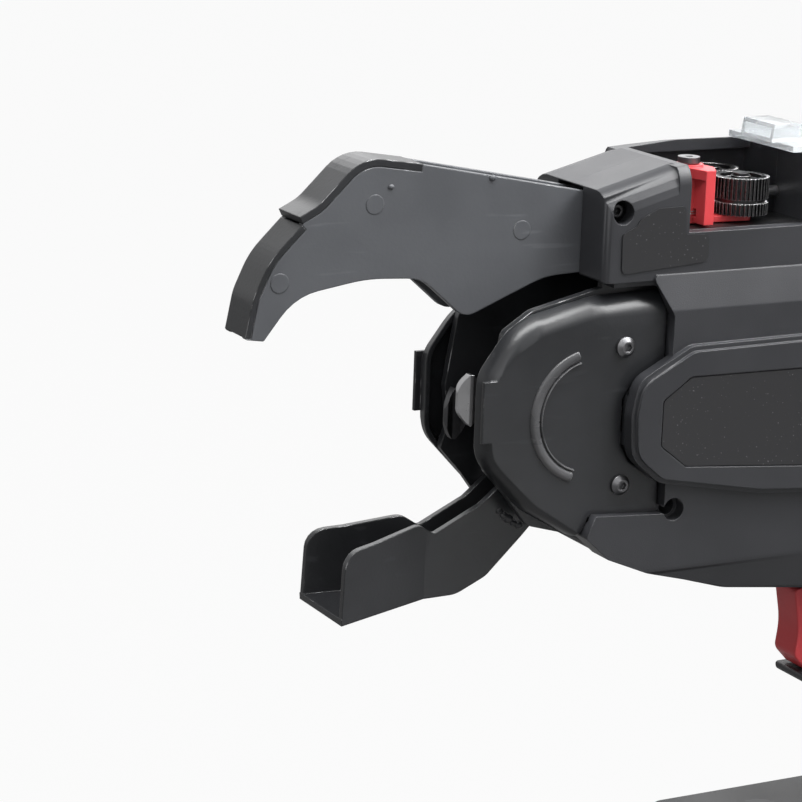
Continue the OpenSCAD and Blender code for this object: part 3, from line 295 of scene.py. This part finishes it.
plastics = {
    "black_plastic": ((0.032, 0.033, 0.037), (0.044, 0.045, 0.050), 0.36, 0.35 * mm),
    "black_gloss": ((0.014, 0.014, 0.016), (0.02, 0.02, 0.023), 0.2, 0.9 * mm),
    "red_plastic": ((0.70, 0.055, 0.065), (0.80, 0.080, 0.090), 0.32, 0.5 * mm),
    "pale_plastic": ((0.62, 0.62, 0.61), (0.70, 0.70, 0.69), 0.42, 0.5 * mm),
    "cell_wrap": ((0.03, 0.14, 0.36), (0.04, 0.17, 0.40), 0.3, 2 * mm),
    "green_board": ((0.02, 0.11, 0.045), (0.03, 0.15, 0.06), 0.3, 1.4 * mm),
    "green_lens": ((0.05, 0.34, 0.09), (0.08, 0.42, 0.12), 0.14, 0.9 * mm),
}
finishes = {name: moulded(name, *values) for name, values in plastics.items()}
print("plastics:", ", ".join(finishes))

# %% [markdown]
# ## Painted metal
# The jaws and the side plates are steel under satin paint. Paint on pressed steel has a shallow
# orange peel, fine scratches along the part and bare bright metal where bars and wire rub the edges.
# The wear could be drawn onto each plate by hand. Here one finish turns to metal where the edge mask
# says that the surface bends, so it follows every edge of every plate by itself.

# %% Painted metal
def painted(name, dark, pale, rough, wear):
    """Paint between two tones. Wear is how far the bare metal spreads from the edges."""
    finish = Finish(name, IOR=1.5)
    round_normal, rim = finish.edges(0.7 * mm)
    cloud = finish.noise(30, 3).between(0.3, 0.7)
    peel = finish.noise(900, 1)
    scratch = finish.noise(260, 2, stretch=(0.12, 1.0, 1.0)).between(0.64, 0.72)
    bare = (rim * finish.noise(120, 4).between(0.5 - wear, 0.72)).between(0.35, 0.8)
    tone = finish.blend(cloud, colour(*dark), colour(*pale))
    tone = finish.blend(scratch * 0.22, tone, colour(*[c * 1.9 for c in pale]))
    finish.set(Base_Color=finish.blend(bare, tone, colour(0.42, 0.42, 0.43)))
    finish.set(Metallic=bare * 0.8)
    finish.set(Roughness=rough + cloud * 0.06 + scratch * 0.08)
    finish.bump(peel - scratch * 0.4, 0.03 * mm, round_normal)
    return finish.material


paints = {
    "grey_paint": ((0.092, 0.096, 0.105), (0.110, 0.115, 0.125), 0.36, 0.05),
    "dark_paint": ((0.020, 0.021, 0.023), (0.028, 0.029, 0.032), 0.32, 0.10),
    "black_paint": ((0.018, 0.019, 0.021), (0.026, 0.027, 0.030), 0.3, 0.14),
    # Paint for crests: more worn to bare metal, and tones far paler than black_paint as a painted
    # highlight.
    "worn_and_highlit_paint": ((0.05, 0.051, 0.054), (0.12, 0.12, 0.125), 0.24, 0.3),
}
finishes.update((name, painted(name, *values)) for name, values in paints.items())
print("paints:", ", ".join(paints))

# %% [markdown]
# ## Bare metal
# Screws and hooks are plated steel, gears and shafts blackened steel, and the gear case is cast. They
# differ only in tone, gloss and size of grain, so one function makes them all: fine turning lines, a
# cloudy gloss and edges painted paler as a highlight. On the gears this painted edge highlight is
# nearly all that shines.

# %% Bare metal
def metal(name, dark, pale, rough, grain, stretch=None, painted_edge_highlight=0.4):
    """Metal between two tones. The edges' share of the pale tone is a painted highlight."""
    finish = Finish(name, Metallic=1.0)
    round_normal, rim = finish.edges(0.3 * mm)
    cloud = finish.noise(90, 3).between(0.3, 0.7)
    lines = finish.noise(1 / grain, 2, stretch)
    # The edges are painted towards the pale tone as a painted highlight, strongest on the gears.
    tone = finish.blend(cloud * (1 - painted_edge_highlight) + rim * painted_edge_highlight, colour(*dark), colour(*pale))
    finish.set(Base_Color=tone)
    finish.set(Roughness=rough + lines * 0.14 - rim * 0.06)
    finish.bump(lines, 0.012 * mm, round_normal)
    return finish.material


metals = {
    "bright_steel": ((0.42, 0.42, 0.43), (0.60, 0.60, 0.61), 0.24, 0.5 * mm, (1, 0.1, 1)),
    "dark_steel": ((0.055, 0.055, 0.058), (0.14, 0.14, 0.145), 0.34, 0.6 * mm),
    "screw_steel": ((0.13, 0.13, 0.135), (0.34, 0.34, 0.35), 0.30, 0.5 * mm),
    # Nearly black gears whose tooth edges carry a strong painted highlight.
    "gear_steel": ((0.02, 0.02, 0.021), (0.62, 0.62, 0.63), 0.26, 0.8 * mm, None, 0.9),
    "cast_alloy": ((0.36, 0.36, 0.37), (0.50, 0.50, 0.51), 0.46, 1.2 * mm),
}
finishes.update((name, metal(name, *values)) for name, values in metals.items())
print("metals:", ", ".join(metals))

# %% [markdown]
# ## Rubber, film and clear cover
# The grip is soft rubber with a dense fine bump. The label places are bare film with pale specks.
# The cover over the spool is clear polycarbonate, which is slightly milky from use: it lets most of
# the light through, and a cloudy roughness blurs what is behind it.

# %% Rubber, film and clear cover
def rubber():
    finish = Finish("grip_rubber", IOR=1.45)
    round_normal, rim = finish.edges(0.5 * mm)
    dots = finish.node("ShaderNodeTexVoronoi", None, Vector=finish.place(), Scale=900.0)
    tone = finish.blend(finish.noise(60, 3), colour(0.018, 0.018, 0.019), colour(0.030, 0.030, 0.032))
    finish.set(Base_Color=tone, Roughness=0.62 + rim * 0.05)
    finish.bump(dots, 0.12 * mm, round_normal)
    return finish.material


def film():
    finish = Finish("label_film", IOR=1.5)
    cells = finish.node("ShaderNodeTexVoronoi", None, Vector=finish.place(), Scale=700.0)
    specks = (1 - cells).between(0.78, 0.9)
    rare = finish.noise(900, 1).between(0.52, 0.62)
    tone = finish.blend(specks * rare * 0.6, colour(0.026, 0.026, 0.028), colour(0.20, 0.20, 0.21))
    finish.set(Base_Color=tone, Roughness=0.38 + specks * 0.1)
    finish.bump(specks, 0.02 * mm)
    return finish.material


def clear():
    finish = Finish("clear_plastic", IOR=1.5, Transmission_Weight=0.75)
    haze = finish.noise(70, 4).between(0.35, 0.75)
    finish.set(Base_Color=finish.blend(haze, colour(0.84, 0.87, 0.89), colour(0.93, 0.95, 0.96)))
    finish.set(Roughness=0.08 + haze * 0.12)
    finish.bump(haze, 0.05 * mm)
    return finish.material


finishes.update(grip_rubber=rubber(), label_film=film(), clear_plastic=clear())
print("finishes:", len(finishes))

# %% [markdown]
# ## Finishes on the solids
# Each solid of the model takes the finish of its slot in the record. A few differ: the lower jaw and
# the frame are painted darker than the upper jaw, screws are dull, and the gears' teeth carry a bright
# painted highlight on their edges.

# %% Finishes on the solids
own_finish = {
    "lower_jaw": "dark_paint", "front_frame": "dark_paint", "side_plate_screws": "screw_steel",
    "release_lever_screw": "screw_steel", "housing_screws": "screw_steel", "drive_feed_gear": "gear_steel",
    "idler_feed_gear": "gear_steel",
}


def finish_of(node):
    return finishes[own_finish.get(node, slot_of_node[node])]


for name, solid in nodes.items():
    solid.data.materials.clear()
    solid.data.materials.append(finish_of(name))
print("solids with a finish of their own:", len(own_finish))

# %% [markdown]
# ## Helpers for modelling
# An operator works on whatever is selected, so each piece starts from nothing selected. Pieces that
# repeat are joined into one. When a piece is done, its place goes into its mesh, its flat faces keep
# flat shading, it gets its finish, and it rides on the body that carries it.

# %% Helpers for modelling
def start():
    if bpy.context.object and bpy.context.object.mode != "OBJECT":
        bpy.ops.object.mode_set(mode="OBJECT")
    bpy.ops.object.select_all(action="DESELECT")


def select_only(piece):
    start()
    piece.select_set(True)
    bpy.context.view_layer.objects.active = piece


def join(pieces):
    start()
    for piece in pieces:
        piece.select_set(True)
    bpy.context.view_layer.objects.active = pieces[0]
    bpy.ops.object.join()


def bevelled(piece, width, steps, angle=30):
    """Really rounds the edges that turn by more than an angle in degrees."""
    select_only(piece)
    bevel = piece.modifiers.new("Round edges", "BEVEL")
    bevel.width = width
    bevel.segments = steps
    bevel.limit_method = "ANGLE"
    bevel.angle_limit = math.radians(angle)
    bevel.use_clamp_overlap = True
    bpy.ops.object.modifier_apply(modifier=bevel.name)


def done(name, body, slot, stands_for=(), smooth=40, finish=None):
    """Applies the place and gives the active object its name, body and finish, by slot if none is given.
    """
    piece = bpy.context.object
    select_only(piece)
    bpy.ops.object.transform_apply(location=True, rotation=True, scale=True)
    bpy.ops.object.shade_smooth_by_angle(angle=math.radians(smooth))
    weighted = piece.modifiers.new("Flat faces stay flat", "WEIGHTED_NORMAL")
    weighted.keep_sharp = True
    bpy.ops.object.modifier_apply(modifier=weighted.name)
    piece.name = name
    piece.data.name = name
    piece.data.materials.clear()
    piece.data.materials.append(finish or finishes[slot])
    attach(piece, body)
    if stands_for:
        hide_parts(*stands_for)
    print(name, len(piece.data.polygons), "faces")


# %% [markdown]
# ## Wire on the spool
# The real wire lies in turns side by side. One long curve through all of them would need a great many
# faces for what is hardly seen through the cover. So a ring of six sides stands for each turn of the
# outer layer, and all the rings are spun round the spool's axle in one go.

# %% Wire on the spool
def winding(turns=22, ring_sides=6, steps=60):
    low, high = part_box("wire_winding")
    centre = (low + high) / 2
    outer = (high.x - low.x) / 2
    pitch = (high.y - low.y) / turns
    start()
    first = (centre.x + outer - pitch / 2, low.y + pitch / 2, centre.z)
    bpy.ops.mesh.primitive_circle_add(vertices=ring_sides, radius=pitch / 2, location=first)
    rings = [bpy.context.object]
    while len(rings) < turns:
        bpy.ops.object.duplicate()
        bpy.ops.transform.translate(value=(0, pitch, 0))
        rings.append(bpy.context.object)
    join(rings)
    bpy.ops.object.transform_apply(location=True)
    bpy.ops.object.mode_set(mode="EDIT")
    bpy.ops.mesh.select_all(action="SELECT")
    bpy.ops.mesh.spin(steps=steps, angle=2 * math.pi, center=centre, axis=(0, 1, 0))
    bpy.ops.mesh.select_all(action="SELECT")
    bpy.ops.mesh.remove_doubles(threshold=0.02 * mm)
    bpy.ops.mesh.normals_make_consistent(inside=False)
    bpy.ops.object.mode_set(mode="OBJECT")
    done("wound_wire", "spool", "dark_steel", ("wire_winding",))


winding()

# %% [markdown]
# ## Arc on the side plates
# Each side plate has an arc pressed into it round the screws: a soft ridge, a dark groove and a thin
# second ridge. A flattened circle, half of it inside the plate, is swept through the arc with spin,
# which is simpler than to press the plate's own faces. Paint is rubbed off such a crest first, so it
# takes a worn finish. That finish's paint is also much paler than the plate's, as a painted highlight.

# %% Arc on the side plates
arc_centre = Vector((-0.129, 0, axis_z - 0.5 * mm))
arc_start = math.radians(105)
arc_end = math.radians(252)
ridges = {"ridge": (22.7 * mm, 1.9 * mm, 1.1 * mm), "lip": (20.2 * mm, 0.4 * mm, 1.0 * mm)}


def pressed_ridge(side, part):
    """Sweeps one flattened circle through the arc: radius of the arc, half width, height."""
    radius, half_width, height = ridges[part]
    low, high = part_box(side)
    face = low.y if side.startswith("left") else high.y
    start()
    towards = Vector((math.cos(arc_start), 0, math.sin(arc_start)))
    first = Vector((arc_centre.x, face, arc_centre.z)) + radius * towards
    bpy.ops.mesh.primitive_circle_add(vertices=16, radius=1, location=first, rotation=(0, -arc_start, 0))
    bpy.context.object.scale = (half_width, height, 1)
    bpy.ops.object.transform_apply(location=True, rotation=True, scale=True)
    bpy.ops.object.mode_set(mode="EDIT")
    bpy.ops.mesh.select_all(action="SELECT")
    middle = (arc_centre.x, face, arc_centre.z)
    bpy.ops.mesh.spin(steps=40, angle=arc_end - arc_start, center=middle, axis=(0, 1, 0))
    bpy.ops.mesh.select_all(action="SELECT")
    bpy.ops.mesh.fill_holes(sides=0)
    bpy.ops.mesh.select_all(action="SELECT")
    bpy.ops.mesh.normals_make_consistent(inside=False)
    bpy.ops.object.mode_set(mode="OBJECT")
    # The crest takes the worn paint, whose pale tone is partly a painted highlight.
    done(side + "_" + part, "housing", "black_paint", finish=finishes["worn_and_highlit_paint"])


for side in ("left_side_plate", "right_side_plate"):
    for part in ridges:
        pressed_ridge(side, part)

# %% [markdown]
# ## Copies of one rounded form
# Ribs, lights and pin ends repeat. Each form is a plain bar or disc with bevelled edges, modelled
# once and copied to each place. An array could only set it in even rows, so the places are a list.

# %% Copies of one rounded form
def bar(size):
    """A bar with sharp edges, still to be rounded."""
    start()
    bpy.ops.mesh.primitive_cube_add(size=1)
    bpy.context.object.scale = size
    return bpy.context.object


def disc(radius, depth, tilt=0):
    """A disc with sharp edges, still to be rounded."""
    start()
    turn = (math.radians(tilt), 0, 0)
    bpy.ops.mesh.primitive_cylinder_add(vertices=40, radius=radius, depth=depth, rotation=turn)
    return bpy.context.object


def copies(name, places, form, rounding, body, slot, finish=None):
    """Rounds the form, copies it to each place and joins the copies."""
    form.location = places[0]
    select_only(form)
    bpy.ops.object.transform_apply(location=False, rotation=True, scale=True)
    bevelled(form, rounding, 3)
    made = [form]
    for place in places[1:]:
        select_only(form)
        bpy.ops.object.duplicate()
        bpy.context.object.location = place
        made.append(bpy.context.object)
    join(made)
    done(name, body, slot, smooth=50, finish=finish)


# %% [markdown]
# ## Ribs on the grip and the battery
# Cross ribs on the rubber stop the hand from slipping, and upright ribs stiffen the battery's walls.
# The grip's back slopes, so each rib finds the rubber with a ray from behind and sits half sunk in
# it. The battery's walls are flat, and its ribs are set by its box.

# %% Ribs on the grip and the battery
grip_low, grip_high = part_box("rubber_grip")
grip_ribs = 12
rib_places = []
for step in range(1, grip_ribs + 1):
    height = grip_low.z + (grip_high.z - grip_low.z) * step / (grip_ribs + 1)
    behind = Vector((grip_high.x + 50 * mm, 0, height))
    hit, spot, *others = nodes["rubber_grip"].ray_cast(behind, Vector((-1, 0, 0)))
    if hit:
        rib_places.append(spot)
cross_rib = bar((1.3 * mm, 15 * mm, 2.2 * mm))
copies("grip_ribs", rib_places, cross_rib, 0.5 * mm, "housing", "grip_rubber")

case_low, case_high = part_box("battery_case")
rib_middle = case_low.z + 24 * mm
rib_columns = (-34 * mm, -28 * mm, -22 * mm, 22 * mm, 28 * mm, 34 * mm)
case_places = [Vector((x, wall, rib_middle)) for wall in (case_low.y, case_high.y) for x in rib_columns]
upright_rib = bar((2.4 * mm, 1.2 * mm, 26 * mm))
copies("battery_ribs", case_places, upright_rib, 0.5 * mm, "battery", "black_plastic")

# %% [markdown]
# ## Lights on the foot and pins under paint
# Three small lenses in the panel show the battery's charge. The pins that hold the upper jaw's plates
# are ground flush and painted over on this side, so that hardly anything shows: a very flat disc with
# the jaw's own paint covers each of them.

# %% Lights on the foot and pins under paint
panel_low, panel_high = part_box("control_panel")
lens_x = panel_low.x + 2.4 * mm
lens_z = panel_high.z - 0.5 * mm
light_places = [Vector((lens_x, y, lens_z)) for y in (-9 * mm, 0, 9 * mm)]
lens = disc(1.1 * mm, 1 * mm)
copies("panel_lights", light_places, lens, 0.35 * mm, "housing", "black_gloss", finishes["green_lens"])

cheek_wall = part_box("upper_jaw_left_plate")[0].y


def on_wall(wall, spots):
    """Places on a wall across Y, from pairs of x and height over the twister's axis in millimetres."""
    return [Vector((x * mm, wall, axis_z + z * mm)) for x, z in spots]


pin_places = on_wall(cheek_wall, ((-243, 51), (-208, 76), (-150, 64)))
copies("painted_pin_ends", pin_places, disc(3.5 * mm, 0.2 * mm, 90), 0.09 * mm, "housing", "grey_paint")

# %% [markdown]
# ## Welds
# The jaws are welded from sheet. A weld is a row of uneven lumps, so one smooth bar wouldn't do: each
# lump is a ball whose points are moved a little by a seeded random step, pressed flat against the
# wall and joined with the others.

# %% Welds
arm_wall = -7 * mm


def weld(name, places, radius, body, finish):
    """Sets a lump at each place. Every third one is the largest."""
    lumps = []
    for index, place in enumerate(places):
        start()
        size = radius * (1 + 0.25 * (index % 3))
        bpy.ops.mesh.primitive_ico_sphere_add(subdivisions=3, radius=size)
        lump = bpy.context.object
        bpy.ops.object.mode_set(mode="EDIT")
        bpy.ops.transform.vertex_random(offset=radius * 0.16, normal=0.5, seed=index)
        bpy.ops.object.mode_set(mode="OBJECT")
        lump.scale = (1, 0.5, 0.8)
        lump.location = place
        bpy.ops.object.transform_apply(location=True, rotation=True, scale=True)
        lumps.append(lump)
    join(lumps)
    done(name, body, "grey_paint", smooth=60, finish=finish)


jaw_spots = on_wall(cheek_wall, ((-202.1, 81.8), (-162.5, 83.0)))
weld("jaw_weld_spots", jaw_spots, 1.1 * mm, "housing", finishes["grey_paint"])
root_spots = on_wall(arm_wall, (
    (-153.4, -38.2), (-151.4, -40.1), (-149.6, -41.4), (-147.4, -43.2), (-145.2, -44.2)))
weld("lower_jaw_weld", root_spots, 1.3 * mm, "lower_jaw", finishes["dark_paint"])

# %% [markdown]
# ## Rounded handles and cases
# Parts that a hand touches have true round edges, not only rounded shading. A copy of the solid is
# merged, because a solid of the model is loose triangles, then cleaned and bevelled, and stands for
# the solid. A width of nothing only merges and shades it. The side plates' flat faces were divided
# across a notch in their outline, which shades dark, so these faces are taken out and filled anew.

# %% Rounded handles and cases
merge_distance = 0.002 * mm
flat_angle = math.radians(0.5)


def refill_flat_sides(piece):
    """Gives the flat faces in the plate's two outer planes a new division, with its holes."""
    heights = [vertex.co.y for vertex in piece.data.vertices]
    for plane in (min(heights), max(heights)):
        bpy.ops.mesh.select_mode(type="FACE")
        bpy.ops.mesh.select_all(action="DESELECT")
        bpy.ops.object.mode_set(mode="OBJECT")
        for face in piece.data.polygons:
            face.select = all(abs(piece.data.vertices[i].co.y - plane) < 0.01 * mm for i in face.vertices)
        bpy.ops.object.mode_set(mode="EDIT")
        bpy.ops.mesh.delete(type="FACE")
        bpy.ops.mesh.select_mode(type="EDGE")
        bpy.ops.mesh.select_non_manifold(
            extend=False, use_wire=False, use_multi_face=False, use_non_contiguous=False, use_verts=False)
        bpy.ops.mesh.fill()
    bpy.ops.mesh.select_all(action="SELECT")
    bpy.ops.mesh.normals_make_consistent(inside=False)


def soften(node, width, angle=32):
    """Stands for a solid with a copy whose edges are really rounded."""
    select_only(nodes[node])
    bpy.ops.object.duplicate()
    piece = bpy.context.object
    piece.parent = None
    for key in ("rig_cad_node", "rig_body"):  # the copy must not pass for the solid itself
        if key in piece:
            del piece[key]
    bpy.ops.object.mode_set(mode="EDIT")
    bpy.ops.mesh.select_all(action="SELECT")
    bpy.ops.mesh.remove_doubles(threshold=merge_distance)
    if "side_plate" in node:
        refill_flat_sides(piece)
    else:
        bpy.ops.mesh.dissolve_limited(angle_limit=flat_angle)
    bpy.ops.object.mode_set(mode="OBJECT")
    if width:
        bevelled(piece, width, 2, angle)
    done(node + "_rounded", body_of_node[node], slot_of_node[node], (node,), angle, finish_of(node))


# Widths of the rounded edges in millimetres
soft_edges = {
    "left_shell": 0, "right_shell": 0, "front_frame": 0, "curl_guide": 0, "battery_case": 0.6,
    "trigger": 2.0, "battery_latch": 0.8, "power_button": 0.5, "torque_dial": 0.4,
    "left_side_plate": 0.5, "right_side_plate": 0.5, "release_lever": 0.4,
    "upper_jaw_left_plate": 0.3, "upper_jaw_right_plate": 0.3, "lower_jaw": 0.35, "clear_cover": 0.6,
}
for node, width in soft_edges.items():
    soften(node, width * mm)

# %% [markdown]
# ## Floor
# The picture has a plain white ground. A white floor would be lit unevenly and would throw light up
# at the tool, so the floor is dark to the lamps and glows for the camera, with a trace of the tool's
# shadow left. Glossy faces see it much darker, which keeps the tool's underside dark, and through
# clear plastic it is nearly as pale as for the camera.

# %% Floor
def floor():
    start()
    bpy.ops.mesh.primitive_plane_add(size=40, location=(0, 0, 0))
    sheet = bpy.context.object
    sheet.name = "floor"
    finish = Finish("floor_paint", Roughness=0.9, Base_Color=colour(0.12, 0.12, 0.12))
    share = (finish.ray("Camera") * 0.95).at_least(finish.ray("Glossy") * 0.14)
    share = share.at_least(finish.ray("Transmission") * 0.9)
    glow = finish.node("ShaderNodeEmission", None, Color=colour(1, 1, 1))
    paint = Wire(finish, finish.shader.outputs[0])
    mixed = finish.node("ShaderNodeMixShader", None, share, paint, glow)
    finish.feed(finish.tree.nodes["Material Output"].inputs[0], mixed)
    sheet.data.materials.append(finish.material)
    print("floor side:", sheet.dimensions.x, "m")


floor()

# %% [markdown]
# ## World
# The world lights the tool weakly from all sides. To the camera and through clear plastic it is as
# pale as the floor, so that no horizon shows. Glossy faces see it at seven tenths, which gives the
# upper faces the sheen that they have in the picture.

# %% World
world = bpy.data.worlds.new("studio")
world.use_nodes = True
bpy.context.scene.world = world
sky = Nodes(world.node_tree)
background = world.node_tree.nodes["Background"]
background.inputs["Color"].default_value = colour(1, 1, 1)
brightness = 0.2 + sky.ray("Camera") * 0.75 + sky.ray("Transmission") * 0.75 + sky.ray("Glossy") * 0.5
sky.feed(background.inputs["Strength"], brightness)
bpy.context.scene.view_settings.view_transform = "Standard"
print("world nodes:", len(world.node_tree.nodes))
